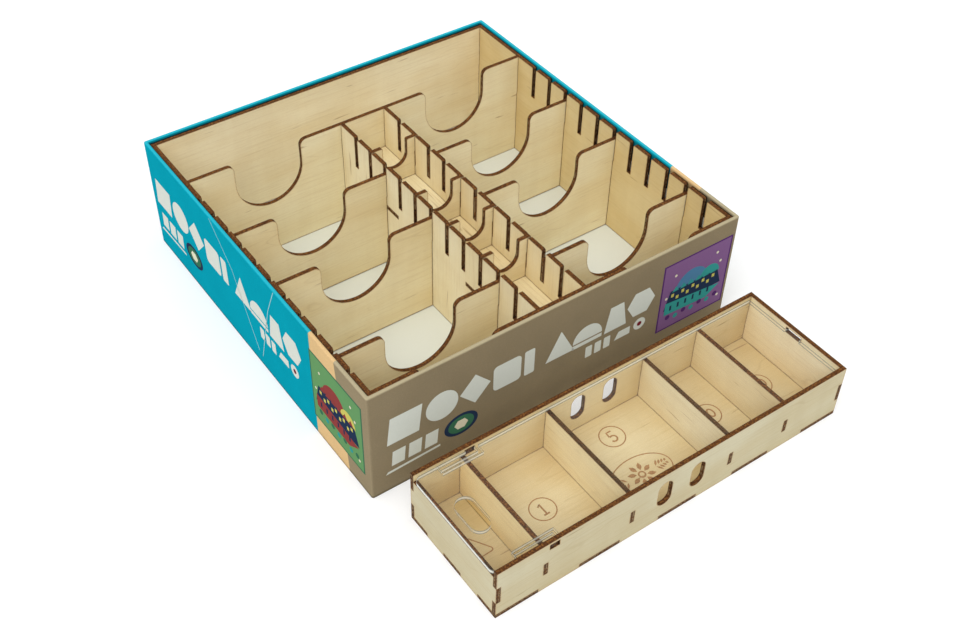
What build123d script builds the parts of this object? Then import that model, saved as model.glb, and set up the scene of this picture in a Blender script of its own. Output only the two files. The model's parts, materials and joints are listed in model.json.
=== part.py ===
from build123d import *
import os

# Box insert organizer: a shallow board-game box base, the laser-cut plywood insert that
# drops into it, and the plywood coin tray with a clear snap lid that stands in front.
# +X runs to the right along the box's front, +Y to its rear and +Z up. Heights in the
# insert and the tray are measured from the surface that everything stands on.
# The origin is the middle of the box's underside. All sizes are in millimetres.

# ---- driving dimensions -----------------------------------------------------------

# box base
box_width = 266.0
box_depth = 271.0
box_height = 82.5
board = 2.0               # chipboard thickness
paper = 0.2               # printed wrap and white liner
box_corner = 1.4          # outer radius of the upright corners
cavity_corner = 0.8       # inner radius of the board's upright corners
rim_round = 1.0           # outer radius of the folded rim
turn_in = 18.0            # how far the wrap folds down inside

# plywood and its joints
ply = 2.8
slip = 0.2                # side clearance of every lift-out piece

# insert
insert_width = 259.8
insert_front = -132.5
insert_rear = 131.7
insert_bottom = board + paper
insert_top = 81.0
slot_count = 11
slot_pitch = 17.46
last_slot_y = -111.1      # slot nearest the front
slot_width = 3.6          # loose on the dividers' sheet
slot_depth = 23.5
slot_chamfer = 0.6
channel_half = 15.2       # half the gap between the two spine walls
channel_floor_top = 50.3
rear_divider_y = 82.0
bay_notch_width = 47.8
bay_notch_bottom = 40.3
notch_shoulder = 4.5
corner_fingers = 5        # finger joint segments up each insert corner
floor_tab_length = 25.0   # tabs of the channel floor, through the spine walls
floor_tab_offset = 50.2   # middle of each of those tabs from the spine's middle
spine_tabs = ((12.0, 26.0), (56.0, 70.0))    # heights of the spine walls' end tabs
divider_tabs = ((12.0, 26.0), (52.0, 66.0))  # heights of the rear divider's end tabs

# lift-out dividers
card_divider_slots = (3, 6, 10)
card_divider_top = 75.2
card_divider_notch_bottom = 36.9
card_divider_foot_gap = 0.4
channel_divider_slots = (2, 5, 7, 9)
channel_ear_height = 11.7
channel_notch_width = 18.4
channel_notch_bottom = 61.8
channel_shoulder = 1.0

# coin tray
tray_length = 252.0
tray_width = 79.4
tray_height = 39.0
tray_center_x = 4.0
tray_center_y = -198.3
long_fingers = 9          # floor joint segments along each long wall
end_fingers = 5           # floor joint segments along each end wall
corner_tab = (13.0, 26.0)     # height of the end walls' tabs through the long walls
partition_tab = (13.2, 22.8)  # height of the partitions' tabs through the long walls
partition_places = (32.1, 91.2, 163.4, 206.4)
finger_slot_places = (114.0, 138.0)
finger_slot_width = 10.0
finger_slot_levels = (12.5, 31.5)

# clear lid
lid_thick = 2.9
lid_bottom = 33.9
lid_gap = 0.3
lid_corner = 4.0
lid_end = 247.8           # right edge, clear of the end wall, from the tray's left end
lid_tab_end = 251.7
lid_tab_width = 11.8
lid_slot_width = 12.4
lid_slot_levels = (33.5, 37.3)
arm_start = 15.5
arm_end = 40.2
arm_width = 3.4
arm_slit = 2.2
barb_start = 34.2
barb_end = 39.8
barb_reach = 2.4
barb_bevel = 1.3
latch_slot = (33.8, 40.2)
latch_levels = (33.4, 37.4)
lid_hole_x = 13.0
lid_hole_width = 12.0
lid_hole_length = 25.0

# ---- worked out from them ---------------------------------------------------------

insert_half = insert_width / 2
inner_half = insert_half - ply
inner_front = insert_front + ply
inner_rear = insert_rear - ply
spine_outer = channel_half + ply
bay_middle = (spine_outer + inner_half) / 2
slot_bottom = insert_top - slot_depth
slot_places = [
    last_slot_y + slot_pitch * (slot_count - number)
    for number in range(1, slot_count + 1)
]
spine_middle_y = (inner_front + rear_divider_y) / 2

tray_left = tray_center_x - tray_length / 2
tray_right = tray_center_x + tray_length / 2
tray_front = tray_center_y - tray_width / 2
tray_rear = tray_center_y + tray_width / 2
tray_inner_front = tray_front + ply
tray_inner_rear = tray_rear - ply

os.makedirs("parts", exist_ok=True)


# ---- shared profiles --------------------------------------------------------------

def front_facing(y):
    """Plane of a panel that fills y to y + ply, drawn in X and Z."""
    return Plane.XZ.offset(-(y + ply))


def side_facing(x):
    """Plane of a panel that fills x to x + ply, drawn in Y and Z."""
    return Plane.YZ.offset(x)


def block(u_range, v_range, mode=Mode.ADD):
    """Rectangle between two stretches of the sketch's own axes."""
    with Locations(((u_range[0] + u_range[1]) / 2, (v_range[0] + v_range[1]) / 2)):
        Rectangle(u_range[1] - u_range[0], v_range[1] - v_range[0], mode=mode)


def corners(sketch, level, places):
    """Corners of a sketch at one level, at any of the given places along it."""
    return [
        v
        for v in sketch.vertices()
        if abs(v.Y - level) < 1e-4 and any(abs(v.X - place) < 1e-4 for place in places)
    ]


def round_notch(sketch, middle, width, top, bottom, shoulder):
    """Finger notch: straight sides, a full round bottom and eased shoulders."""
    radius = width / 2
    block((middle - radius, middle + radius), (bottom + radius, top), Mode.SUBTRACT)
    with Locations((middle, bottom + radius)):
        Circle(radius, mode=Mode.SUBTRACT)
    fillet(corners(sketch, top, (middle - radius, middle + radius)), shoulder)


def divider_slots():
    """The row of open slots along a side or spine wall, with bevelled mouths."""
    half = slot_width / 2
    for place in slot_places:
        Polygon(
            (place - half - slot_chamfer, insert_top),
            (place - half, insert_top - slot_chamfer),
            (place - half, slot_bottom),
            (place + half, slot_bottom),
            (place + half, insert_top - slot_chamfer),
            (place + half + slot_chamfer, insert_top),
            align=None,
            mode=Mode.SUBTRACT,
        )


def segments(start, end, count):
    """Equal joint segments between two ends."""
    step = (end - start) / count
    return [(start + step * i, start + step * (i + 1)) for i in range(count)]


def slip_in_end_fingers(low_end, high_end, level_range):
    """Cuts a panel's two ends back by the sheet thickness between two levels."""
    block((low_end, low_end + ply), level_range, Mode.SUBTRACT)
    block((high_end - ply, high_end), level_range, Mode.SUBTRACT)


def finish(builder, name):
    """Labels a finished piece and writes its file."""
    builder.part.label = name
    export_step(builder.part, f"parts/{name}.step")


# ---- box base ---------------------------------------------------------------------

board_width = box_width - 2 * paper
board_depth = box_depth - 2 * paper
cavity_width = board_width - 2 * board
cavity_depth = board_depth - 2 * board
turn_in_level = box_height - turn_in

with BuildPart() as box_board:
    with BuildSketch():
        RectangleRounded(board_width, board_depth, box_corner - paper)
    extrude(amount=box_height - paper)
    with BuildSketch(Plane.XY.offset(board)):
        RectangleRounded(cavity_width, cavity_depth, cavity_corner)
    extrude(amount=box_height, mode=Mode.SUBTRACT)
    rim = box_board.faces().sort_by(Axis.Z)[-1]
    fillet(rim.edges(), rim_round - paper)
finish(box_board, "box_board")

with BuildPart() as box_wrap:
    with BuildSketch():
        RectangleRounded(box_width, box_depth, box_corner)
        RectangleRounded(
            cavity_width - 2 * paper,
            cavity_depth - 2 * paper,
            cavity_corner - paper,
            mode=Mode.SUBTRACT,
        )
    extrude(amount=box_height)
    rim = box_wrap.faces().sort_by(Axis.Z)[-1]
    fillet(rim.edges(), rim_round)
    with BuildSketch():
        RectangleRounded(cavity_width, cavity_depth, cavity_corner)
    extrude(amount=turn_in_level, mode=Mode.SUBTRACT)
    add(box_board.part, mode=Mode.SUBTRACT)
finish(box_wrap, "box_wrap")

with BuildPart() as box_liner:
    with BuildSketch(Plane.XY.offset(board)):
        RectangleRounded(cavity_width, cavity_depth, cavity_corner)
    extrude(amount=turn_in_level - board)
    with BuildSketch(Plane.XY.offset(board + paper)):
        RectangleRounded(
            cavity_width - 2 * paper,
            cavity_depth - 2 * paper,
            cavity_corner - paper,
        )
    extrude(amount=box_height, mode=Mode.SUBTRACT)
finish(box_liner, "box_liner")


# ---- insert: outer walls ----------------------------------------------------------

corner_segments = segments(insert_bottom, insert_top, corner_fingers)

for side, wall_x in (("left", -insert_half), ("right", inner_half)):
    with BuildPart() as side_wall:
        with BuildSketch(side_facing(wall_x)):
            block((insert_front, insert_rear), (insert_bottom, insert_top))
            for levels in corner_segments[1::2]:
                slip_in_end_fingers(insert_front, insert_rear, levels)
            for levels in divider_tabs:
                block((rear_divider_y, rear_divider_y + ply), levels, Mode.SUBTRACT)
            divider_slots()
        extrude(amount=ply)
    finish(side_wall, f"side_wall_{side}")

with BuildPart() as rear_wall:
    with BuildSketch(front_facing(inner_rear)):
        block((-insert_half, insert_half), (insert_bottom, insert_top))
        for levels in corner_segments[0::2]:
            slip_in_end_fingers(-insert_half, insert_half, levels)
    extrude(amount=ply)
finish(rear_wall, "rear_wall")


def spine_mortises():
    """Slots that take the spine walls' tabs in the panel at either end of them."""
    for levels in spine_tabs:
        block((channel_half, spine_outer), levels, Mode.SUBTRACT)
        block((-spine_outer, -channel_half), levels, Mode.SUBTRACT)


def bay_notches(sketch):
    """The two finger notches of a full-width panel, one over each row of bays."""
    for middle in (-bay_middle, bay_middle):
        round_notch(
            sketch, middle, bay_notch_width, insert_top, bay_notch_bottom, notch_shoulder
        )


with BuildPart() as front_wall:
    with BuildSketch(front_facing(insert_front)) as outline:
        block((-insert_half, insert_half), (insert_bottom, insert_top))
        for levels in corner_segments[0::2]:
            slip_in_end_fingers(-insert_half, insert_half, levels)
        spine_mortises()
        bay_notches(outline)
    extrude(amount=ply)
finish(front_wall, "front_wall")

with BuildPart() as rear_divider:
    with BuildSketch(front_facing(rear_divider_y)) as outline:
        block((-inner_half, inner_half), (insert_bottom, insert_top))
        for levels in divider_tabs:
            block((-insert_half, insert_half), levels)
        spine_mortises()
        bay_notches(outline)
    extrude(amount=ply)
finish(rear_divider, "rear_divider")


# ---- insert: centre channel -------------------------------------------------------

floor_tabs = [
    (
        spine_middle_y + side * floor_tab_offset - floor_tab_length / 2,
        spine_middle_y + side * floor_tab_offset + floor_tab_length / 2,
    )
    for side in (-1, 1)
]
channel_floor_levels = (channel_floor_top - ply, channel_floor_top)

for side, wall_x in (("left", -spine_outer), ("right", channel_half)):
    with BuildPart() as spine_wall:
        with BuildSketch(side_facing(wall_x)):
            block((inner_front, rear_divider_y), (insert_bottom, insert_top))
            for levels in spine_tabs:
                block((insert_front, rear_divider_y + ply), levels)
            for stretch in floor_tabs:
                block(stretch, channel_floor_levels, Mode.SUBTRACT)
            divider_slots()
        extrude(amount=ply)
    finish(spine_wall, f"spine_wall_{side}")

with BuildPart() as channel_floor:
    with BuildSketch(Plane.XY.offset(channel_floor_levels[0])):
        block((-channel_half, channel_half), (inner_front, rear_divider_y))
        for stretch in floor_tabs:
            block((-spine_outer, spine_outer), stretch)
    extrude(amount=ply)
finish(channel_floor, "channel_floor")


# ---- lift-out dividers ------------------------------------------------------------

card_body = (spine_outer + slip, inner_half - slip)
card_ears = (channel_half, insert_half - slip)

for side, direction in (("left", -1), ("right", 1)):
    for number, slot in enumerate(card_divider_slots, start=1):
        panel_y = slot_places[slot - 1] - ply / 2
        body = sorted(direction * x for x in card_body)
        ears = sorted(direction * x for x in card_ears)
        with BuildPart() as card_divider:
            with BuildSketch(front_facing(panel_y)) as outline:
                block(body, (insert_bottom + card_divider_foot_gap, card_divider_top))
                block(ears, (slot_bottom, card_divider_top))
                round_notch(
                    outline,
                    direction * bay_middle,
                    bay_notch_width,
                    card_divider_top,
                    card_divider_notch_bottom,
                    notch_shoulder,
                )
            extrude(amount=ply)
        finish(card_divider, f"card_divider_{side}_{number}")

channel_body_half = channel_half - slip
channel_ear_half = spine_outer - slip

for number, slot in enumerate(channel_divider_slots, start=1):
    panel_y = slot_places[slot - 1] - ply / 2
    with BuildPart() as channel_divider:
        with BuildSketch(front_facing(panel_y)) as outline:
            block((-channel_body_half, channel_body_half), (channel_floor_top, insert_top))
            block(
                (-channel_ear_half, channel_ear_half),
                (insert_top - channel_ear_height, insert_top),
            )
            round_notch(
                outline,
                0,
                channel_notch_width,
                insert_top,
                channel_notch_bottom,
                channel_shoulder,
            )
        extrude(amount=ply)
    finish(channel_divider, f"channel_divider_{number}")


# ---- coin tray --------------------------------------------------------------------

tray_x_segments = segments(tray_left, tray_right, long_fingers)
tray_y_segments = segments(tray_front, tray_rear, end_fingers)

with BuildPart() as tray_floor:
    with BuildSketch():
        block((tray_left, tray_right), (tray_front, tray_rear))
        for stretch in tray_x_segments[1::2]:
            block(stretch, (tray_front, tray_inner_front), Mode.SUBTRACT)
            block(stretch, (tray_inner_rear, tray_rear), Mode.SUBTRACT)
        for stretch in tray_y_segments[1::2]:
            block((tray_left, tray_left + ply), stretch, Mode.SUBTRACT)
            block((tray_right - ply, tray_right), stretch, Mode.SUBTRACT)
    extrude(amount=ply)
finish(tray_floor, "tray_floor")

for side, panel_y in (("front", tray_front), ("rear", tray_inner_rear)):
    with BuildPart() as long_wall:
        with BuildSketch(front_facing(panel_y)):
            block((tray_left, tray_right), (ply, tray_height))
            for stretch in tray_x_segments[1::2]:
                block(stretch, (0, ply))
            slip_in_end_fingers(tray_left, tray_right, corner_tab)
            for place in partition_places:
                middle = tray_left + place
                block((middle - ply / 2, middle + ply / 2), partition_tab, Mode.SUBTRACT)
            block(
                (tray_left + latch_slot[0], tray_left + latch_slot[1]),
                latch_levels,
                Mode.SUBTRACT,
            )
            for place in finger_slot_places:
                with Locations((tray_left + place, sum(finger_slot_levels) / 2)):
                    SlotOverall(
                        finger_slot_levels[1] - finger_slot_levels[0],
                        finger_slot_width,
                        rotation=90,
                        mode=Mode.SUBTRACT,
                    )
        extrude(amount=ply)
    finish(long_wall, f"tray_{side}_wall")

for side, wall_x, wall_top in (
    ("left", tray_left, lid_bottom),
    ("right", tray_right - ply, tray_height),
):
    with BuildPart() as end_wall:
        with BuildSketch(side_facing(wall_x)):
            block((tray_inner_front, tray_inner_rear), (ply, wall_top))
            for stretch in tray_y_segments[1::2]:
                block(stretch, (0, ply))
            block((tray_front, tray_rear), corner_tab)
            if side == "right":
                block(
                    (
                        tray_center_y - lid_slot_width / 2,
                        tray_center_y + lid_slot_width / 2,
                    ),
                    lid_slot_levels,
                    Mode.SUBTRACT,
                )
        extrude(amount=ply)
    finish(end_wall, f"tray_{side}_end_wall")

for number, place in enumerate(partition_places, start=1):
    with BuildPart() as partition:
        with BuildSketch(side_facing(tray_left + place - ply / 2)):
            block((tray_inner_front, tray_inner_rear), (ply, lid_bottom))
            block((tray_front, tray_rear), partition_tab)
        extrude(amount=ply)
    finish(partition, f"tray_partition_{number}")


# ---- clear snap lid ---------------------------------------------------------------

lid_plane = Plane.XY.offset(lid_bottom)
lid_front = tray_inner_front + lid_gap
lid_rear = tray_inner_rear - lid_gap
arm_pocket = (tray_left + arm_start, tray_left + arm_end + arm_slit)
pocket_depth = arm_width + arm_slit

with BuildPart() as lid:
    with BuildSketch(lid_plane) as outline:
        block((tray_left, tray_left + lid_end), (lid_front, lid_rear))
        fillet(
            [v for v in outline.vertices() if abs(v.X - tray_left) < 1e-4],
            lid_corner,
        )
        block(
            (tray_left + lid_end, tray_left + lid_tab_end),
            (tray_center_y - lid_tab_width / 2, tray_center_y + lid_tab_width / 2),
        )
        block(arm_pocket, (lid_front, lid_front + pocket_depth), Mode.SUBTRACT)
        block(arm_pocket, (lid_rear - pocket_depth, lid_rear), Mode.SUBTRACT)
        with Locations((tray_left + lid_hole_x, tray_center_y)):
            SlotOverall(lid_hole_length, lid_hole_width, rotation=90, mode=Mode.SUBTRACT)
    extrude(amount=lid_thick)
finish(lid, "lid")

for side, edge_y, outward in (("front", lid_front, -1), ("rear", lid_rear, 1)):
    with BuildPart() as snap_arm:
        with BuildSketch(lid_plane):
            inner_y = edge_y - outward * arm_width
            block(
                (tray_left + arm_start, tray_left + arm_end),
                (min(edge_y, inner_y), max(edge_y, inner_y)),
            )
            with BuildLine():
                Polyline(
                    (tray_left + barb_start, edge_y),
                    (tray_left + barb_start + barb_bevel, edge_y + outward * barb_reach),
                    (tray_left + barb_end - barb_bevel, edge_y + outward * barb_reach),
                    (tray_left + barb_end, edge_y),
                    close=True,
                )
            make_face()
        extrude(amount=lid_thick)
    finish(snap_arm, f"lid_snap_arm_{side}")
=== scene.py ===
import json
import math
import random

import bmesh
import bpy
from mathutils import Matrix, Vector


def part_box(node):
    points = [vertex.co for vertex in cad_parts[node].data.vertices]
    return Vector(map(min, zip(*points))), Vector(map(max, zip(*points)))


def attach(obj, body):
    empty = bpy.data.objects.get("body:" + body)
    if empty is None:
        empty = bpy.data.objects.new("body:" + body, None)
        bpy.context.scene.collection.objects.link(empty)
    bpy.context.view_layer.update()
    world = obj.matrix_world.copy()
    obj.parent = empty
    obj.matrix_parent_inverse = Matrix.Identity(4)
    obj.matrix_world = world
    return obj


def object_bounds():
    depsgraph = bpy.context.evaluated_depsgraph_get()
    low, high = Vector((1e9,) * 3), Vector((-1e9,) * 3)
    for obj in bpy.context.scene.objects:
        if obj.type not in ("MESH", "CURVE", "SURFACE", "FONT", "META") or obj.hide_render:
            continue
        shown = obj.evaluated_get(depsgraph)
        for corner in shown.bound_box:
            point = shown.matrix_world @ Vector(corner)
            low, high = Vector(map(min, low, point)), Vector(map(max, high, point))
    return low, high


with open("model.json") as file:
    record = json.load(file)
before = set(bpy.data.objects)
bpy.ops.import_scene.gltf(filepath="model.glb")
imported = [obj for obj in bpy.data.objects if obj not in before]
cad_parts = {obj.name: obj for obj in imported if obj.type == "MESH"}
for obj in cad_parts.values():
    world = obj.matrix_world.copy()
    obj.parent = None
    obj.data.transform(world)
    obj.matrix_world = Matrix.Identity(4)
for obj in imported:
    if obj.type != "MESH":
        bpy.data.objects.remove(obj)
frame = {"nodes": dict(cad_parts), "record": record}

# Looks for the box insert organizer: laser-cut birch plywood with scorched edges, a printed
# cardboard box base, white lining paper and a clear acrylic lid. All sizes are in metres.

CAD_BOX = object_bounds()
MM = 0.001

# ---- the frame's own sizes ----------------------------------------------------------

BOX_LOW, BOX_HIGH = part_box("box_wrap")
TRAY_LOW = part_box("tray_front_wall")[0]
TRAY_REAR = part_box("tray_rear_wall")[1].y
TRAY_FLOOR_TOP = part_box("tray_floor")[1].z
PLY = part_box("tray_floor")[1].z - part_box("tray_floor")[0].z
LID_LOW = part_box("lid")[0].z
LID_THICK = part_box("lid")[1].z - LID_LOW
PLIES = 3.0                 # layers in a sheet of plywood

# ---- colours, linear ----------------------------------------------------------------

BIRCH_PALE = (0.83, 0.735, 0.49)
BIRCH_WARM = (0.765, 0.635, 0.375)
BIRCH_FIGURE = (0.60, 0.46, 0.245)
BIRCH_FLECK = (0.40, 0.27, 0.13)
SCORCH = (0.42, 0.20, 0.045)
SOOT = (0.085, 0.040, 0.018)
CHAR_DARK = (0.022, 0.009, 0.004)
CHAR_BROWN = (0.080, 0.028, 0.008)
CHAR_PALE = (0.225, 0.092, 0.022)
CHAR_ASH = (0.33, 0.25, 0.14)
TEAL = (0.003, 0.305, 0.405)
TEAL_HIGHLIGHT = (0.06, 0.60, 0.72)
TAN = (0.67, 0.46, 0.225)
TAUPE = (0.278, 0.224, 0.138)
OFF_WHITE = (0.62, 0.65, 0.59)
FOLD_WEAR_AND_HIGHLIGHT = (0.60, 0.54, 0.35)
GREEN = (0.125, 0.285, 0.115)
PURPLE = (0.205, 0.105, 0.240)
PURPLE_DARK = (0.085, 0.030, 0.135)
LINER = (0.70, 0.735, 0.68)
LINER_FIBRE = (0.55, 0.50, 0.40)
LINER_CLOUD = (0.62, 0.58, 0.48)
LINER_CORNER_SHADE = (0.20, 0.17, 0.13)
GREYBOARD = (0.36, 0.34, 0.30)
GREYBOARD_DARK = (0.27, 0.25, 0.22)
GREYBOARD_SPECK = (0.16, 0.15, 0.14)
BLACK = (0.0, 0.0, 0.0)
GAP_SHADE = (0.004, 0.003, 0.002)
ACRYLIC_FACE = (0.62, 0.64, 0.61)
ACRYLIC_SMEAR = (0.50, 0.53, 0.50)
ACRYLIC_GATHERED_LIGHT = (0.96, 0.95, 0.86)
ACRYLIC_GATHERED_LIGHT_DIM = (0.78, 0.79, 0.70)
ACRYLIC_BORDER = (0.15, 0.19, 0.17)
ENGRAVED_DARK = (0.25, 0.115, 0.030)
ENGRAVED_PALE = (0.42, 0.215, 0.070)
FLOOR_WHITE = (0.63, 0.63, 0.63)
FLOOR_CLOUD = (0.60, 0.60, 0.60)

# Painted shade: wood close to other wood is drawn warmer and deeper, as in shade lit by light
# bounced off the wood, more so in the small tray.
CORNER_SHADE_TINT = (0.89, 0.82, 0.66)
CORNER_SHADE_AMOUNT = {"tray": 0.80, "insert": 0.12}
CORNER_SHADE_REACH = 28 * MM

# How far the laser's burn reaches into a face from its edge, and over an edge's corners.
SCORCH_REACH = 1.7 * MM
SOOT_REACH = 0.5 * MM
ARRIS_REACH = 0.75 * MM
# How far painted shade reaches at joints between pieces, and inside slots and round the
# insert.
JOINT_SHADE_REACH = 1.0 * MM
SLOT_SHADE_REACH = 4.0 * MM


# ---- node helpers -------------------------------------------------------------------

class Tree:
    """A short way to write a material's nodes; every material below calls its tree t."""

    def __init__(self, name):
        self.material = bpy.data.materials.new(name)
        self.material.use_nodes = True
        self.tree = self.material.node_tree
        self.tree.nodes.clear()

    def add(self, kind, inputs=None, **settings):
        node = self.tree.nodes.new("ShaderNode" + kind)
        for key, value in settings.items():
            setattr(node, key, value)
        for key, value in (inputs or {}).items():
            self.feed(node.inputs[key], value)
        return node

    def feed(self, socket, value):
        if isinstance(value, bpy.types.NodeSocket):
            self.tree.links.new(value, socket)
        elif isinstance(value, tuple) and socket.type == "RGBA" and len(value) == 3:
            socket.default_value = (*value, 1.0)
        else:
            socket.default_value = value

    def math(self, operation, a, b=0.0, clamp=False):
        node = self.add("Math", {0: a, 1: b}, operation=operation, use_clamp=clamp)
        return node.outputs[0]

    def times(self, a, b, clamp=False):
        return self.math("MULTIPLY", a, b, clamp)

    def plus(self, a, b, clamp=False):
        return self.math("ADD", a, b, clamp)

    def minus(self, a, b, clamp=False):
        return self.math("SUBTRACT", a, b, clamp)

    def mix(self, factor, a, b, blend="MIX"):
        node = self.add("Mix", {0: factor, 6: a, 7: b}, data_type="RGBA", blend_type=blend)
        return node.outputs[2]

    def stretch(self, vector, scale):
        node = self.add("VectorMath", {0: vector, 1: scale}, operation="MULTIPLY")
        return node.outputs[0]

    def noise(self, vector, scale, detail=3.0, roughness=0.5, distortion=0.0):
        node = self.add(
            "TexNoise",
            {
                "Vector": self.stretch(vector, scale),
                "Scale": 1.0,
                "Detail": detail,
                "Roughness": roughness,
                "Distortion": distortion,
            },
        )
        return node.outputs[0]

    def step(self, value, low, high):
        node = self.add(
            "MapRange", {0: value, 1: low, 2: high}, interpolation_type="SMOOTHSTEP"
        )
        return node.outputs[0]

    def place(self):
        """Position on the part at rest, in millimetres."""
        at = self.add("TexCoord").outputs["Object"]
        return self.add("VectorMath", {0: at, "Scale": 1 / MM}, operation="SCALE").outputs[0]

    def rim_mask(self, radius, low, high):
        """1 beside a sharp edge of the piece, falling to 0 at the radius."""
        bevel = self.add("Bevel", {"Radius": radius}, samples=6).outputs[0]
        normal = self.add("NewGeometry").outputs["Normal"]
        dot = self.add("VectorMath", {0: bevel, 1: normal}, operation="DOT_PRODUCT")
        return self.step(self.minus(1.0, dot.outputs["Value"]), low, high)

    def facing(self, axis):
        """How far the surface faces along an axis of the part, from -1 to 1."""
        normal = self.add("TexCoord").outputs["Normal"]
        return self.add("SeparateXYZ", {0: normal}).outputs[axis]

    def crevice(self, distance, own=False, open_at=0.82, shut_at=0.45):
        """1 where the surface is shut in by others, or with own by its own piece, nearby."""
        node = self.add(
            "AmbientOcclusion", {"Distance": distance}, samples=6, only_local=own
        )
        return self.step(node.outputs["AO"], open_at, shut_at)

    def bump(self, height, strength, distance):
        node = self.add(
            "Bump", {"Height": height, "Strength": strength, "Distance": distance}
        )
        return node.outputs[0]

    def finish(self, **inputs):
        shader = self.add("BsdfPrincipled")
        for key, value in inputs.items():
            self.feed(shader.inputs[key.replace("_", " ")], value)
        self.add("OutputMaterial", {"Surface": shader.outputs[0]})
        return self.material


# ---- plywood ------------------------------------------------------------------------

def panel_axes(node):
    """The panel's axes in order: along the face grain, across it, through the sheet."""
    low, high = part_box(node)
    axes = sorted(range(3), key=lambda axis: low[axis] - high[axis])
    if node.startswith("spine_wall"):
        axes = [axes[1], axes[0], axes[2]]     # cut with the face grain upright
    return axes


def grain_place(tree, axes, seed):
    """Millimetres along the grain, across it and through the sheet, shifted by the seed."""
    xyz = tree.add("SeparateXYZ", {0: tree.place()}).outputs
    turned = tree.add("CombineXYZ", {i: xyz[axis] for i, axis in enumerate(axes)})
    draw = random.Random(seed)
    shift = (draw.uniform(0, 900), draw.uniform(0, 900), draw.uniform(0, 90))
    moved = tree.add("VectorMath", {0: turned.outputs[0], 1: shift}, operation="ADD")
    return moved.outputs[0]


def birch_face(name, axes, seed, warmth, tint, figured, corner_shade):
    """Sanded birch veneer: soft figure, fine streaks, short flecks and a scorched border, with
    painted sheen bands across the grain and painted shade in corners and joints.

    warmth moves it from pale to warm, figured strengthens its grain, and corner_shade
    says how strongly painted shade, warm and deep, darkens it where other wood stands close
    by.
    """
    t = Tree(name)
    at = grain_place(t, axes, seed)
    broad = t.noise(at, (0.010, 0.032, 0.0), 3.0, 0.55)
    painted_sheen_bands = t.noise(at, (0.075, 0.010, 0.0), 2.0)
    streak = t.noise(at, (0.022, 0.85, 0.0), 5.0, 0.62)
    bend = t.noise(at, (0.012, 0.035, 0.0), 2.0)
    across = t.add("SeparateXYZ", {0: at}).outputs[1]
    rings = t.plus(t.times(across, 0.10), t.times(bend, 9.0))
    ring = t.math("ABSOLUTE", t.math("SINE", rings))
    figure = t.times(t.step(ring, 0.10, 0.0), t.step(broad, 0.40, 0.66))
    fleck = t.step(t.noise(at, (0.30, 4.2, 0.0), 2.0, 0.6), 0.66, 0.76)
    tone = t.plus(t.step(broad, 0.32, 0.70), warmth - 0.5, clamp=True)
    colour = t.mix(tone, BIRCH_PALE, BIRCH_WARM)
    streaks = t.times(t.step(streak, 0.46, 0.76), 0.40 * figured)
    colour = t.mix(streaks, colour, BIRCH_FIGURE)
    pores = t.step(t.noise(at, (0.35, 2.6, 0.0), 3.0, 0.6), 0.50, 0.72)
    colour = t.mix(t.times(pores, 0.24 * figured), colour, BIRCH_FIGURE)
    # Painted sheen: soft bands across the grain, as the veneer's sheen shows under light.
    colour = t.mix(t.times(t.step(painted_sheen_bands, 0.62, 0.34), 0.12), colour, BIRCH_FIGURE)
    colour = t.mix(t.times(figure, 0.38), colour, BIRCH_FIGURE)
    colour = t.mix(t.times(fleck, 0.42), colour, BIRCH_FLECK)
    rare = 0.69 - 0.09 * (figured - 1.0)
    mineral = t.step(t.noise(at, (0.024, 0.36, 0.0), 2.0, 0.5, 0.4), rare, rare + 0.06)
    colour = t.mix(t.times(mineral, 0.70), colour, BIRCH_FLECK)
    colour = t.mix(1.0, colour, tint, "MULTIPLY")
    # Painted shade: warmer and deeper where other wood stands close by.
    corner = t.times(t.crevice(CORNER_SHADE_REACH, False, 0.95, 0.30), corner_shade)
    colour = t.mix(corner, colour, CORNER_SHADE_TINT, "MULTIPLY")
    smoke = t.plus(0.55, t.times(t.noise(at, (0.25, 0.25, 0.0)), 0.6))
    halo = t.times(t.rim_mask(SCORCH_REACH, 0.0, 0.20), smoke, clamp=True)
    colour = t.mix(t.times(halo, 0.9), colour, SCORCH)
    soot = t.times(t.rim_mask(SOOT_REACH, 0.02, 0.20), smoke, clamp=True)
    colour = t.mix(soot, colour, SOOT)
    # Soot, and painted shade of the narrow joint where another piece meets the face.
    joint_soot_and_shade = t.times(t.crevice(JOINT_SHADE_REACH), t.times(smoke, 0.85))
    colour = t.mix(joint_soot_and_shade, colour, SOOT)
    height = t.minus(streak, t.times(fleck, 0.6))
    rough = t.plus(0.46, t.times(streak, 0.22))
    return t.finish(
        Base_Color=colour,
        Roughness=rough,
        Specular_IOR_Level=0.25,
        Normal=t.bump(height, 0.22, 0.12 * MM),
    )


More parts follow.
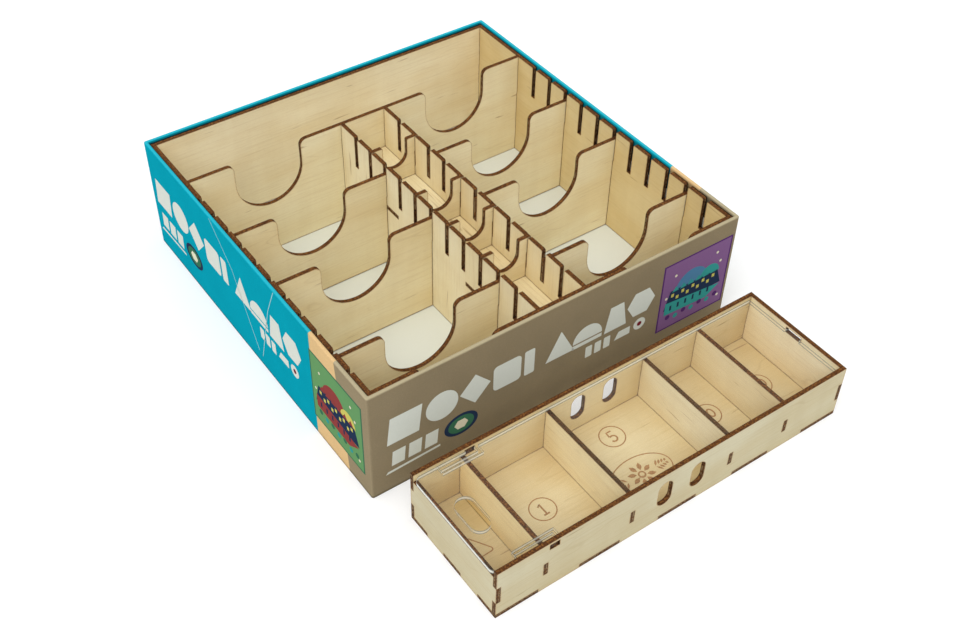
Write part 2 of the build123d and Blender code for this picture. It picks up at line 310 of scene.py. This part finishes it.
def burnt_edge(name, axes, low):
    """Laser-cut ply edge: charred brown, darker at the glue lines, with fine striations;
    painted lighter where it faces up, and painted shade inside slots and notches.
    """
    t = Tree(name)
    at = t.place()
    through = t.add("SeparateXYZ", {0: at}).outputs[axes[2]]
    depth = t.math("DIVIDE", t.minus(through, low / MM), PLY / MM)
    layer = t.math("PINGPONG", t.times(depth, PLIES), 1.0)
    glue = t.step(layer, 0.78, 1.0)
    lines = t.noise(at, (0.95, 0.95, 0.95), 2.0, 0.5)
    patch = t.noise(at, (0.16, 0.16, 0.16), 2.0)
    # Painted light and shade on the char: lighter where an edge faces up, painted shade inside
    # slots and notches.
    painted_top_light = t.times(t.step(t.facing(2), -0.2, 0.9), 0.35)
    in_slot = t.times(t.crevice(SLOT_SHADE_REACH, True), 0.9)
    painted_char_light = t.minus(t.plus(0.65, painted_top_light), in_slot, clamp=True)
    even = t.plus(0.62, t.times(t.step(patch, 0.25, 0.6), 0.38))
    colour = t.mix(t.times(even, painted_char_light), CHAR_DARK, CHAR_BROWN)
    pale = t.times(t.step(lines, 0.46, 0.62), even)
    pale = t.times(pale, painted_char_light)
    colour = t.mix(t.times(pale, 0.85), colour, CHAR_PALE)
    colour = t.mix(t.times(glue, 0.45), colour, CHAR_DARK)
    # Where an edge faces sideways, as at a tab's end, paler wood shows between the chars.
    sideways = t.step(t.math("ABSOLUTE", t.facing(2)), 0.5, 0.2)
    wood = t.times(t.step(t.noise(at, (0.55, 0.55, 0.55), 1.0), 0.42, 0.58), sideways)
    wood = t.times(wood, t.step(layer, 0.75, 0.35))
    wood = t.times(wood, painted_char_light)
    colour = t.mix(t.times(wood, 0.75), colour, CHAR_ASH)
    arris = t.rim_mask(ARRIS_REACH, 0.0, 0.22)
    colour = t.mix(t.times(arris, 0.9), colour, CHAR_DARK)
    return t.finish(
        Base_Color=colour,
        Roughness=t.plus(0.62, t.times(lines, 0.3)),
        Specular_IOR_Level=0.12,
        Normal=t.bump(lines, 0.5, 0.15 * MM),
    )


# Sheets differ a little: how warm the veneer is, and a tint over it, matched to the photo.
# Most tints are partly painted light and shade: they lift sheets that stand in shade and lower
# sheets in full light.
EVERY_SHEET = (0.5, (1.0, 1.0, 1.0))
GREENISH = (0.42, (0.655, 0.68, 0.695))
SHEETS = {
    "tray_front_wall": GREENISH,
    "tray_left_end_wall": GREENISH,
    "tray_floor": (0.60, (0.80, 0.765, 0.685)),
    "tray_right_end_wall": (0.35, (1.08, 1.10, 1.18)),
    "tray_partition_1": (0.55, (1.16, 1.10, 0.94)),
    "tray_partition_2": (0.42, (1.04, 1.06, 1.06)),
    "tray_partition_3": (0.45, (1.00, 1.03, 1.10)),
    "tray_rear_wall": (0.55, (0.91, 0.88, 0.81)),
    "rear_wall": (0.35, (1.05, 1.06, 1.12)),
    "rear_divider": (0.45, (1.05, 1.08, 1.13)),
    "card_divider_left_1": (0.48, (1.01, 1.02, 1.03)),
    "card_divider_left_2": (0.48, (1.01, 1.02, 1.03)),
    "card_divider_left_3": (0.48, (1.01, 1.02, 1.03)),
    "spine_wall_left": (0.40, (1.02, 1.05, 1.12)),
    "card_divider_right_1": (0.42, (1.05, 1.07, 1.10)),
    "card_divider_right_2": (0.42, (1.06, 1.09, 1.13)),
    "card_divider_right_3": (0.42, (1.05, 1.07, 1.10)),
    "side_wall_right": (0.66, (0.88, 0.82, 0.68)),
    "channel_floor": (0.52, (0.97, 0.98, 0.98)),
}


def give_materials(node, materials):
    """Replaces a CAD node's materials and returns its mesh."""
    mesh = frame["nodes"][node].data
    mesh.materials.clear()
    for material in materials:
        mesh.materials.append(material)
    return mesh


WELL_FIGURED = 1.9          # the channel floor's veneer has the strongest grain
FACE_ON = 0.9               # a normal this close to an axis faces along it


def dress_panel(node, seed):
    """Gives a plywood node its veneer on both faces and a burnt edge all round."""
    axes = panel_axes(node)
    warmth, tint = SHEETS.get(node, EVERY_SHEET)
    figured = WELL_FIGURED if node == "channel_floor" else 1.0
    # How much painted corner shade the sheet gets.
    corner_shade = CORNER_SHADE_AMOUNT["tray" if node.startswith("tray") else "insert"]
    veneer = birch_face("birch_" + node, axes, seed, warmth, tint, figured, corner_shade)
    edge = burnt_edge("burnt_edge_" + node, axes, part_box(node)[0][axes[2]])
    mesh = give_materials(node, [veneer, edge])
    for face in mesh.polygons:
        face.material_index = 0 if abs(face.normal[axes[2]]) > FACE_ON else 1


# ---- box: printed wrap, lining and board --------------------------------------------

TAN_START, TAN_END = -75.0, -102.0     # along the sides, from the middle of the box
TAN_LEAN = 0.11                        # the front boundary leans forward going down
SHADE_TOP, SHADE_FULL = 81.2, 80.6     # heights where painted shade in the gap round the insert starts and is full


def printed_wrap():
    """Laminated print: teal, then a tan band, then taupe towards the front; painted highlights
    on upward teal faces and the front rim, painted shade on the front and in the gap round the
    insert.
    """
    t = Tree("printed_wrap")
    at = t.place()
    xyz = t.add("SeparateXYZ", {0: at}).outputs
    drop = t.times(t.minus(BOX_HIGH.z / MM, xyz[2]), TAN_LEAN)
    leaning = t.plus(xyz[1], drop)
    past_teal = t.step(xyz[1], TAN_START + 0.15, TAN_START - 0.15)
    past_tan = t.step(leaning, TAN_END + 0.15, TAN_END - 0.15)
    colour = t.mix(past_tan, t.mix(past_teal, TEAL, TAN), TAUPE)
    cloud = t.noise(at, (0.05, 0.05, 0.05), 4.0)
    colour = t.mix(t.times(cloud, 0.16), colour, BLACK)
    fibre = t.noise(at, (1.6, 1.6, 1.6), 5.0, 0.7)
    bright = t.mix(1.0, colour, (1.7, 1.6, 1.6), "MULTIPLY")
    colour = t.mix(t.times(t.step(fibre, 0.45, 0.75), 0.30), colour, bright)
    wear = t.times(t.rim_mask(0.9 * MM, 0.02, 0.3), t.step(cloud, 0.3, 0.62))
    # Painted highlight, with some pale wear: the top of the front rim is drawn lighter.
    top = t.step(xyz[2], BOX_HIGH.z / MM - 1.4, BOX_HIGH.z / MM - 0.2)
    painted_rim_highlight = t.times(top, past_tan)
    colour = t.mix(t.times(painted_rim_highlight, 0.36), colour, FOLD_WEAR_AND_HIGHLIGHT)
    colour = t.mix(t.times(wear, 0.22), colour, FOLD_WEAR_AND_HIGHLIGHT)
    # Painted highlight: teal faces that face up are drawn lighter.
    painted_teal_highlight = t.times(t.step(t.facing(2), 0.4, 0.9), 0.30)
    painted_teal_highlight = t.times(painted_teal_highlight, t.minus(1.0, past_teal))
    colour = t.mix(painted_teal_highlight, colour, TEAL_HIGHLIGHT)
    # Painted shade: faces that face the front are drawn darker.
    painted_front_shade = t.times(t.step(t.facing(1), -0.5, -0.9), 0.12)
    colour = t.mix(painted_front_shade, colour, BLACK)
    # Painted shade: the wrap in the narrow gap round the insert is drawn near black.
    painted_gap_shade = t.times(t.crevice(SLOT_SHADE_REACH), t.step(xyz[2], SHADE_TOP, SHADE_FULL))
    colour = t.mix(t.times(painted_gap_shade, 0.93), colour, GAP_SHADE)
    rough = t.plus(0.40, t.times(fibre, 0.22))
    return t.finish(
        Base_Color=colour,
        Roughness=rough,
        Specular_IOR_Level=0.0,
        Normal=t.bump(fibre, 0.12, 0.1 * MM),
    )


def lining_paper():
    """Uncoated white lining paper with faint fibres, darker along its corners with painted
    shade where other pieces stand on it.
    """
    t = Tree("lining_paper")
    at = t.place()
    fibre = t.noise(at, (1.1, 1.3, 1.2), 6.0, 0.7)
    cloud = t.noise(at, (0.03, 0.03, 0.03), 2.0)
    colour = t.mix(t.times(fibre, 0.10), LINER, LINER_FIBRE)
    colour = t.mix(t.times(cloud, 0.08), colour, LINER_CLOUD)
    # Painted shade along the corners where other pieces stand on the paper.
    colour = t.mix(t.times(t.crevice(1.2 * MM), 0.7), colour, LINER_CORNER_SHADE)
    return t.finish(
        Base_Color=colour,
        Roughness=t.plus(0.72, t.times(fibre, 0.2)),
        Normal=t.bump(fibre, 0.2, 0.1 * MM),
    )


def grey_chipboard():
    """Pressed grey board with paler and darker fibres."""
    t = Tree("grey_chipboard")
    at = t.place()
    fibre = t.noise(at, (0.7, 0.9, 0.8), 8.0, 0.75)
    speck = t.step(t.noise(at, (2.2, 2.2, 2.2), 3.0), 0.62, 0.74)
    colour = t.mix(t.step(fibre, 0.35, 0.68), GREYBOARD_DARK, GREYBOARD)
    colour = t.mix(t.times(speck, 0.5), colour, GREYBOARD_SPECK)
    return t.finish(
        Base_Color=colour,
        Roughness=t.plus(0.75, t.times(fibre, 0.2)),
        Normal=t.bump(fibre, 0.3, 0.2 * MM),
    )


def ink(name, colour, fade=0.14):
    """A printed ink with slight mottling and the wrap's satin film over it."""
    t = Tree(name)
    at = t.place()
    mottle = t.noise(at, (0.5, 0.5, 0.5), 5.0, 0.65)
    darker = tuple(c * 0.72 for c in colour)
    shown = t.mix(t.times(mottle, 2 * fade), colour, darker)
    fibre = t.noise(at, (1.6, 1.6, 1.6), 5.0, 0.7)
    return t.finish(
        Base_Color=shown,
        Roughness=t.plus(0.40, t.times(fibre, 0.22)),
        Specular_IOR_Level=0.0,
        Normal=t.bump(fibre, 0.12, 0.1 * MM),
    )


# ---- clear acrylic ------------------------------------------------------------------

ACRYLIC_IOR = 1.49


def acrylic_face():
    """The lid's broad faces: all but clear, with a sharp reflection."""
    t = Tree("acrylic_face")
    at = t.place()
    smear = t.noise(at, (0.02, 0.05, 0.0), 3.0)
    return t.finish(
        Base_Color=t.mix(smear, ACRYLIC_FACE, ACRYLIC_SMEAR),
        Roughness=t.plus(0.03, t.times(smear, 0.05)),
        Alpha=0.03,
        IOR=ACRYLIC_IOR,
    )


def acrylic_edge():
    """The lid's cut edges: the light they gather is painted on, white between two dark
    borders.
    """
    t = Tree("acrylic_edge")
    at = t.place()
    lines = t.noise(at, (1.5, 1.5, 0.4), 4.0, 0.6)
    colour = t.mix(lines, ACRYLIC_GATHERED_LIGHT, ACRYLIC_GATHERED_LIGHT_DIM)
    height = t.add("SeparateXYZ", {0: at}).outputs[2]
    depth = t.math("DIVIDE", t.minus(height, LID_LOW / MM), LID_THICK / MM)
    border = t.step(t.math("ABSOLUTE", t.minus(depth, 0.5)), 0.16, 0.36)
    colour = t.mix(t.times(border, 0.85), colour, ACRYLIC_BORDER)
    # Painted highlight: edges facing left at the lid's left end are drawn whiter.
    left = t.times(t.step(t.facing(0), 0.15, -0.95), 0.70)
    along = t.add("SeparateXYZ", {0: at}).outputs[0]
    end = TRAY_LOW.x / MM
    at_end = t.step(along, end + 9.0, end + 4.0)
    left = t.times(left, at_end)
    # Painted highlight: edges facing the front are drawn whiter too.
    front = t.times(t.step(t.facing(1), 0.10, -0.90), 0.60)
    painted_edge_glint = t.math("MAXIMUM", left, front)
    alpha = t.math("MAXIMUM", t.plus(0.10, painted_edge_glint), t.times(border, 0.72))
    return t.finish(
        Base_Color=colour,
        Roughness=t.plus(0.12, t.times(lines, 0.2)),
        Alpha=alpha,
        IOR=ACRYLIC_IOR,
        Normal=t.bump(lines, 0.15, 0.1 * MM),
    )


def dress_acrylic(node, materials):
    """Clear faces and edges painted white with gathered light; the catches' tips in the wall
    slots stay clear.
    """
    mesh = give_materials(node, materials)
    inner_front = TRAY_LOW.y + PLY
    inner_rear = TRAY_REAR - PLY
    inner_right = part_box("tray_right_end_wall")[0].x
    for face in mesh.polygons:
        across, along = face.center.y, face.center.x
        in_slot = not inner_front < across < inner_rear or along > inner_right
        clear_side = abs(face.normal.z) > FACE_ON or in_slot
        face.material_index = 0 if clear_side else 1


def engraving_ink():
    """Laser engraving: a shallow scorched line."""
    t = Tree("engraving")
    at = t.place()
    char = t.noise(at, (1.2, 1.2, 1.2), 4.0, 0.65)
    colour = t.mix(t.step(char, 0.3, 0.7), ENGRAVED_DARK, ENGRAVED_PALE)
    return t.finish(
        Base_Color=colour,
        Roughness=t.plus(0.7, t.times(char, 0.2)),
        Normal=t.bump(char, 0.4, 0.1 * MM),
    )


seed = 0
for entry in frame["record"]["subparts"]:
    if entry["material_slot"] == "birch_ply":
        seed += 1
        dress_panel(entry["node"], seed)

wrap_material = printed_wrap()
give_materials("box_wrap", [wrap_material])
give_materials("box_liner", [lining_paper()])
board_mesh = give_materials("box_board", [grey_chipboard(), wrap_material])
for face in board_mesh.polygons:
    face.material_index = 1 if face.normal.z < -FACE_ON else 0

clear = (acrylic_face(), acrylic_edge())
for node in ("lid", "lid_snap_arm_front", "lid_snap_arm_rear"):
    dress_acrylic(node, clear)
    frame["nodes"][node].visible_shadow = False      # clear, so it shades nothing


# ---- flat printed and engraved shapes -----------------------------------------------

def circle(radius, centre=(0.0, 0.0), count=48, start=0.0, end=360.0):
    """Points of an arc; a full circle leaves out the repeated last point."""
    full = abs(end - start) >= 360.0
    steps = count if full else count - 1
    points = []
    for i in range(count):
        angle = math.radians(start + (end - start) * i / steps)
        points.append(
            (centre[0] + radius * math.cos(angle), centre[1] + radius * math.sin(angle))
        )
    return points


def rectangle(u0, u1, v0, v1, corner=0.0, steps=5):
    """A rectangle, with rounded corners if asked."""
    if not corner:
        return [(u0, v0), (u1, v0), (u1, v1), (u0, v1)]
    points = []
    for cu, cv, start in (
        (u1 - corner, v0 + corner, -90),
        (u1 - corner, v1 - corner, 0),
        (u0 + corner, v1 - corner, 90),
        (u0 + corner, v0 + corner, 180),
    ):
        points += circle(corner, (cu, cv), steps, start, start + 90)
    return points


class Flat:
    """Thin flat shapes on one plane, gathered into one mesh with a slot for each ink."""

    def __init__(self, name, origin, right, up, lift=0.03):
        self.name = name
        self.right, self.up = Vector(right), Vector(up)
        self.normal = self.right.cross(self.up).normalized()
        self.origin = Vector(origin)
        self.lift = lift
        self.bm = bmesh.new()
        self.materials = []

    def slot(self, material):
        if material not in self.materials:
            self.materials.append(material)
        return self.materials.index(material)

    def point(self, u, v, layer):
        raised = self.normal * (self.lift * (1 + layer)) * MM
        return self.origin + (self.right * u + self.up * v) * MM + raised

    def fill(self, points, material, layer=0):
        """A filled outline, as a thin slab so that it has no stray open face."""
        index = self.slot(material)
        top = [self.bm.verts.new(self.point(u, v, layer)) for u, v in points]
        low = [self.bm.verts.new(self.point(u, v, layer - 1)) for u, v in points]
        faces = [self.bm.faces.new(top), self.bm.faces.new(list(reversed(low)))]
        count = len(points)
        for i in range(count):
            j = (i + 1) % count
            faces.append(self.bm.faces.new((low[i], low[j], top[j], top[i])))
        for face in faces:
            face.material_index = index

    def line(self, points, width, material, closed=False, layer=0):
        """A ribbon of constant width along the points."""
        index = self.slot(material)
        count = len(points)
        sides = []
        for i, (u, v) in enumerate(points):
            if closed:
                before, after = points[i - 1], points[(i + 1) % count]
            else:
                before, after = points[max(i - 1, 0)], points[min(i + 1, count - 1)]
            du, dv = after[0] - before[0], after[1] - before[1]
            length = math.hypot(du, dv) or 1.0
            nu, nv = -dv / length * width / 2, du / length * width / 2
            ring = []
            for side, level in ((1, layer), (-1, layer), (-1, layer - 1), (1, layer - 1)):
                ring.append(self.bm.verts.new(self.point(u + side * nu, v + side * nv, level)))
            sides.append(ring)
        last = count if closed else count - 1
        for i in range(last):
            here, there = sides[i], sides[(i + 1) % count]
            for k in range(4):
                j = (k + 1) % 4
                face = self.bm.faces.new((here[k], here[j], there[j], there[k]))
                face.material_index = index
        if not closed:
            for ring in (sides[0], list(reversed(sides[-1]))):
                self.bm.faces.new(ring).material_index = index

    def build(self, body):
        bmesh.ops.recalc_face_normals(self.bm, faces=self.bm.faces)
        bmesh.ops.triangulate(self.bm, faces=[f for f in self.bm.faces if len(f.verts) > 4])
        mesh = bpy.data.meshes.new(self.name)
        self.bm.to_mesh(mesh)
        self.bm.free()
        for material in self.materials:
            mesh.materials.append(material)
        piece = bpy.data.objects.new(self.name, mesh)
        bpy.context.scene.collection.objects.link(piece)
        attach(piece, body)
        return piece


# ---- generic print on the box -------------------------------------------------------

off_white = ink("ink_off_white", OFF_WHITE)
dark_red = ink("ink_dark_red", (0.17, 0.02, 0.03))
pale_line = ink("ink_pale_line", (0.42, 0.62, 0.60))
green = ink("ink_green", GREEN)
green_dark = ink("ink_green_dark", (0.045, 0.15, 0.085))
purple = ink("ink_purple", PURPLE)
purple_dark = ink("ink_purple_dark", PURPLE_DARK)
sea = ink("ink_sea", (0.04, 0.29, 0.27))
sky_blue = ink("ink_sky_blue", (0.075, 0.20, 0.34))
night = ink("ink_night", (0.02, 0.035, 0.075))
yellow = ink("ink_yellow", (0.55, 0.50, 0.12))
brick = ink("ink_brick", (0.25, 0.050, 0.048))
cream = ink("ink_cream", (0.70, 0.66, 0.50))


def block_row(face):
    """A row of bold plain shapes, in groups of five and four, along the middle of a side."""
    face.fill([(-122, 38), (-101, 38), (-98.5, 58.5), (-119.5, 58.5)], off_white)
    face.fill(circle(10.8, (-85.5, 48.5)), off_white)
    face.fill([(-73.5, 48.5), (-63, 37.0), (-52.5, 48.5), (-63, 60.0)], off_white)
    face.fill(rectangle(-50.5, -31.0, 38, 57.5, 3.0), off_white)
    face.fill(rectangle(-28.6, -21.4, 38, 57.5, 1.2), off_white)
    face.fill([(-13, 39), (8, 39), (-2.5, 59.5)], off_white)
    face.fill(circle(11.0, (18.0, 42.5), 28, 0, 180), off_white)
    face.fill(rectangle(7.0, 29.0, 38.6, 41.4), off_white)
    face.fill([(31, 38.5), (48, 38.5), (44.5, 58), (34.5, 58)], off_white)
    face.fill(circle(10.8, (58.8, 50.0), 6, 0, 360), off_white)


def small_marks(face):
    """Smaller plain marks under the row, and a round dark badge."""
    for u in (17.5, 24.5, 31.5):
        face.fill(rectangle(u, u + 5.0, 26.0, 35.0, 0.8), off_white)
    face.fill([(40, 28), (52, 28), (52, 34), (43, 34)], off_white)
    face.fill(circle(4.6, (59.5, 32.0)), off_white)
    face.fill(circle(1.8, (59.5, 32.0), 20), dark_red, 1)
    for u in (-119.5, -108.5, -97.5):
        face.fill([(u, 19.5), (u + 8.5, 19.5), (u + 9.5, 31), (u + 1, 31)], off_white)
    face.fill([(-123.5, 14.0), (-87, 15.4), (-87, 17.0), (-122, 15.8)], off_white)
    badge = (-72.5, 25.0)
    for layer, (stretch, outline, colour) in enumerate((
        (1.35, circle(8.6), night),
        (1.35, circle(6.6), green_dark),
        (1.2, circle(4.0, count=6), cream),
    )):
        shape = [(u * stretch + badge[0], v + badge[1]) for u, v in outline]
        face.fill(shape, colour, layer)


PICTURE_WIDTH, PICTURE_FOOT, PICTURE_TOP = 55.5, 14.3, 69.5
PICTURE_BORDER = 1.2


def picture(face, left, field, border, far, near, low):
    """A framed picture: two hills, a dark row of lit windows, roofs, bushes and dots."""
    right = left + PICTURE_WIDTH
    face.fill(rectangle(left, right, PICTURE_FOOT, PICTURE_TOP), border)
    inside = rectangle(
        left + PICTURE_BORDER,
        right - PICTURE_BORDER,
        PICTURE_FOOT + PICTURE_BORDER,
        PICTURE_TOP - PICTURE_BORDER,
    )
    face.fill(inside, field, 1)
    face.fill(circle(13.0, (left + 25.0, 44.0), 28, 0, 180), far, 2)
    face.fill(circle(8.0, (left + 40.0, 44.5), 24, 0, 180), near, 3)
    face.fill([(left + 4, 31), (left + 51, 33), (left + 47, 45), (left + 8, 46)], night, 3)
    face.fill([(left + 5, 27), (left + 40, 25), (left + 50.5, 32), (left + 5, 37)], low, 4)
    for i in range(9):
        window, sill = left + 9 + 4.2 * i, 40.5 - 3.0 * (i % 2)
        face.fill(rectangle(window, window + 2.2, sill, sill + 2.6), yellow, 4)
    for i in range(6):
        door = left + 9 + 6.2 * i
        face.fill(rectangle(door, door + 1.6, 29.4, 33.4), night, 5)
    for i in range(6):
        roof = left + 9.5 + 6.2 * i
        face.fill([(roof, 44.6), (roof + 5.4, 44.8), (roof + 2.6, 48.6)], low, 4)
    for i in range(7):
        bush = (left + 8.5 + 6.6 * i, 24.0 - 1.4 * (i % 2))
        face.fill(circle(1.9, bush, 14), sea if i % 2 else border, 5)
    for u, v in ((48.0, 52.0), (5.0, 41.5), (10.5, 58.0), (44.0, 60.5), (50.5, 22.0)):
        face.fill(circle(1.0, (left + u, v), 14), cream, 6)


CREASE = 0.45               # width of a crease line, mm


def print_side(name, origin, right, left, picture_inks, creases=()):
    """One printed side of the box; left is where its picture starts."""
    face = Flat(name, origin, right, (0, 0, 1))
    block_row(face)
    small_marks(face)
    picture(face, left, *picture_inks)
    for crease in creases:
        face.line(crease, CREASE, pale_line)
    face.build("box")


PURPLE_INKS = (purple, purple_dark, sky_blue, sea, sea)
GREEN_INKS = (green, green_dark, brick, yellow, brick)
CREASES = ([(-37, 81.6), (-13, 58), (12, 10)], [(42.5, 81.6), (32, 59), (16, 8)])

# The left and right sides have the front's shapes, moved towards the rear, and a picture
# at the front end. Only the front and the left side show in the photo.
LEFT_SHIFT, RIGHT_SHIFT = 7.0 * MM, 59.0 * MM
print_side("print_front", (0, BOX_LOW.y, 0), (1, 0, 0), 74.8, PURPLE_INKS)
print_side("print_left", (BOX_LOW.x, LEFT_SHIFT, 0), (0, -1, 0), 80.5, GREEN_INKS, CREASES)
print_side("print_right", (BOX_HIGH.x, RIGHT_SHIFT, 0), (0, 1, 0), -187.4, GREEN_INKS)
print_side("print_rear", (0, BOX_HIGH.y, 0), (-1, 0, 0), 74.8, PURPLE_INKS)


# ---- engraving on the coin tray's floor ---------------------------------------------

engraved = engraving_ink()
LINE = 0.75                 # width of an engraved line, mm

floor_art = Flat(
    "tray_engraving", (TRAY_LOW.x, TRAY_LOW.y, TRAY_FLOOR_TOP), (1, 0, 0), (0, 1, 0), 0.02
)


def ring_with(centre, radius, strokes, size):
    """A circle with a numeral in it; each stroke is a list of points in numeral heights."""
    floor_art.line(circle(radius, centre, 56), LINE, engraved, closed=True)
    for stroke in strokes:
        points = [(centre[0] + u * size, centre[1] + v * size) for u, v in stroke]
        floor_art.line(points, LINE * 1.5, engraved)


# Numerals as strokes, about one unit high; shift moves one aside to make room for another.

def numeral_one(shift=0.0):
    return [
        [(-0.22 + shift, 0.28), (shift, 0.48), (shift, -0.48)],
        [(-0.24 + shift, -0.48), (0.24 + shift, -0.48)],
    ]


def numeral_five():
    bowl = circle(0.27, (-0.02, -0.20), 16, 130, -150)
    return [[(0.22, 0.48), (-0.18, 0.48), (-0.22, 0.06)], bowl]


def numeral_zero(shift):
    return [[(u * 0.62 + shift, v) for u, v in circle(0.46, (0, 0), 25, 0, 359.9)]]


def numeral_two(shift):
    hook = circle(0.24, (shift, 0.22), 12, 160, -30)
    return [hook + [(-0.24 + shift, -0.48), (0.26 + shift, -0.48)]]


RING = 7.9                  # radius round a numeral, mm
ONE_DIGIT, TWO_DIGITS = 8.2, 6.8      # heights of the numerals
ring_with((62.2, 40.6), RING, numeral_one(), ONE_DIGIT)
ring_with((128.2, 59.7), RING, numeral_five(), ONE_DIGIT)
ring_with((187.0, 40.5), RING, numeral_one(-0.42) + numeral_zero(0.30), TWO_DIGITS)
ring_with((229.5, 41.0), RING, numeral_two(-0.42) + numeral_zero(0.36), TWO_DIGITS)


def oval(centre, half_long, half_short, count=64):
    unit = circle(1, count=count)
    return [(centre[0] + u * half_long, centre[1] + v * half_short) for u, v in unit]


# A leaf's outline: parts of its length, and parts of half its width to either side.
LEAF = ((0.0, 0.0), (0.35, 0.8), (0.62, 0.8), (1.0, 0.0), (0.62, -0.8), (0.35, -0.8))


def petal(hub, turn, inner, outer, width):
    """A filled leaf pointing away from the hub."""
    angle = math.radians(turn)
    ahead, aside = (math.cos(angle), math.sin(angle)), (-math.sin(angle), math.cos(angle))
    points = []
    for along, across in LEAF:
        reach = inner + (outer - inner) * along
        u = hub[0] + ahead[0] * reach + aside[0] * across * width / 2
        v = hub[1] + ahead[1] * reach + aside[1] * across * width / 2
        points.append((u, v))
    floor_art.fill(points, engraved)


# A plain ornament: an oval frame round a rosette with a spray of leaves at each side.
ORNAMENT = (124.2, 28.0)
floor_art.line(oval(ORNAMENT, 20.8, 12.8), LINE, engraved, closed=True)
floor_art.line(circle(2.0, ORNAMENT, 24), LINE * 1.4, engraved, closed=True)
for turn in range(0, 360, 45):
    petal(ORNAMENT, turn + 22.5, 3.1, 8.8, 3.4)
for side in (0, 180):
    for step in range(4):
        reach = 10.4 + 2.2 * step
        stem = ORNAMENT[0] + (reach if side == 0 else -reach)
        for lean in (55, -55):
            petal((stem, ORNAMENT[1]), side + lean, 0.4, 5.0 - 0.8 * step, 1.7)

# A triangle with rounded corners in the leftmost pocket.
TOKEN_CORNER = 1.4
TOKEN_PLACE = (15.6, 39.0)
TOKEN_REACH = 10.4 - 2 * TOKEN_CORNER
token = []
for turn in (-28, 92, 212):
    angle = math.radians(turn)
    hub = (
        TOKEN_PLACE[0] + TOKEN_REACH * math.cos(angle),
        TOKEN_PLACE[1] + TOKEN_REACH * math.sin(angle),
    )
    token += circle(TOKEN_CORNER, hub, 7, turn - 60, turn + 60)
floor_art.line(token, LINE, engraved, closed=True)
floor_art.build("coin_tray")


# ---- floor, light and camera --------------------------------------------------------

FLOOR_SIZE = 12.0
FLOOR_DROP = 0.0002         # the floor lies this far under the part
FLOOR_GLOW = 0.31           # keeps the shadows on the floor faint
SKY_LIGHT = 0.29            # even light from all round


def studio_floor():
    """A pale floor that glows a little, so that it looks all but white."""
    t = Tree("studio_floor")
    at = t.place()
    cloud = t.noise(at, (0.004, 0.004, 0.0), 2.0)
    colour = t.mix(t.times(cloud, 0.05), FLOOR_WHITE, FLOOR_CLOUD)
    return t.finish(
        Base_Color=colour,
        Roughness=0.9,
        Emission_Color=(1.0, 1.0, 1.0),
        Emission_Strength=FLOOR_GLOW,
    )


bpy.ops.mesh.primitive_plane_add(
    size=FLOOR_SIZE, location=(0, 0, CAD_BOX[0][2] - FLOOR_DROP)
)
floor = bpy.context.object
floor.name = "studio_floor"
floor.data.materials.append(studio_floor())

scene = bpy.context.scene
world = bpy.data.worlds.new("studio")
world.use_nodes = True
sky_nodes = world.node_tree.nodes
sky = sky_nodes["Background"]
backdrop = sky_nodes.new("ShaderNodeBackground")
for shader, strength in ((sky, SKY_LIGHT), (backdrop, 1.0)):
    shader.inputs["Color"].default_value = (1.0, 1.0, 1.0, 1.0)
    shader.inputs["Strength"].default_value = strength
# The camera sees plain white beyond the floor; the part is lit by the dimmer sky.
rays = sky_nodes.new("ShaderNodeLightPath")
either = sky_nodes.new("ShaderNodeMixShader")
surface = sky_nodes["World Output"].inputs["Surface"]
for source, socket in (
    (rays.outputs["Is Camera Ray"], either.inputs[0]),
    (sky.outputs[0], either.inputs[1]),
    (backdrop.outputs[0], either.inputs[2]),
    (either.outputs[0], surface),
):
    world.node_tree.links.new(source, socket)
scene.world = world


def soft_light(name, towards, spread, strength):
    """Even light from one side, as from a large diffuser far away; spread in degrees."""
    light = bpy.data.lights.new(name, "SUN")
    light.angle = math.radians(spread)
    light.energy = strength
    lamp = bpy.data.objects.new(name, light)
    scene.collection.objects.link(lamp)
    lamp.rotation_euler = Vector(towards).to_track_quat("-Z", "Y").to_euler()


# Each light is named for where it stands.
for name, towards, spread, strength in (
    ("front_left", (0.64, 0.54, -1.0), 48, 1.55),
    ("front_right", (-0.60, 0.60, -1.0), 75, 1.30),
    ("rear_left", (0.45, -0.35, -1.0), 60, 0.90),
    ("left", (0.95, 0.15, -1.0), 60, 0.48),
):
    soft_light(name, towards, spread, strength)

scene.view_settings.view_transform = "Standard"
scene.view_settings.look = "None"

CAMERA_PLACE = (-0.35091, -0.52977, 0.57750)
AZIMUTH, DOWN, ROLL = 36.33, 44.23, 1.375     # degrees
LENS, SENSOR = 48.11, 36.0                    # mm
NEAREST = 0.01                                # nothing nearer than this is drawn

azimuth, down, roll = (math.radians(angle) for angle in (AZIMUTH, DOWN, ROLL))
level = Vector((math.cos(azimuth), -math.sin(azimuth), 0.0))
forward = Vector((math.sin(azimuth), math.cos(azimuth), 0.0))
ahead = forward * math.cos(down) - Vector((0.0, 0.0, math.sin(down)))
above = level.cross(ahead)
right = level * math.cos(roll) + above * math.sin(roll)
up = above * math.cos(roll) - level * math.sin(roll)
camera_data = bpy.data.cameras.new("camera")
camera_data.lens = LENS
camera_data.sensor_width = SENSOR
camera_data.clip_start = NEAREST
camera = bpy.data.objects.new("camera", camera_data)
scene.collection.objects.link(camera)
facing = Matrix((right, up, -ahead)).transposed().to_4x4()
camera.matrix_world = Matrix.Translation(CAMERA_PLACE) @ facing
scene.camera = camera
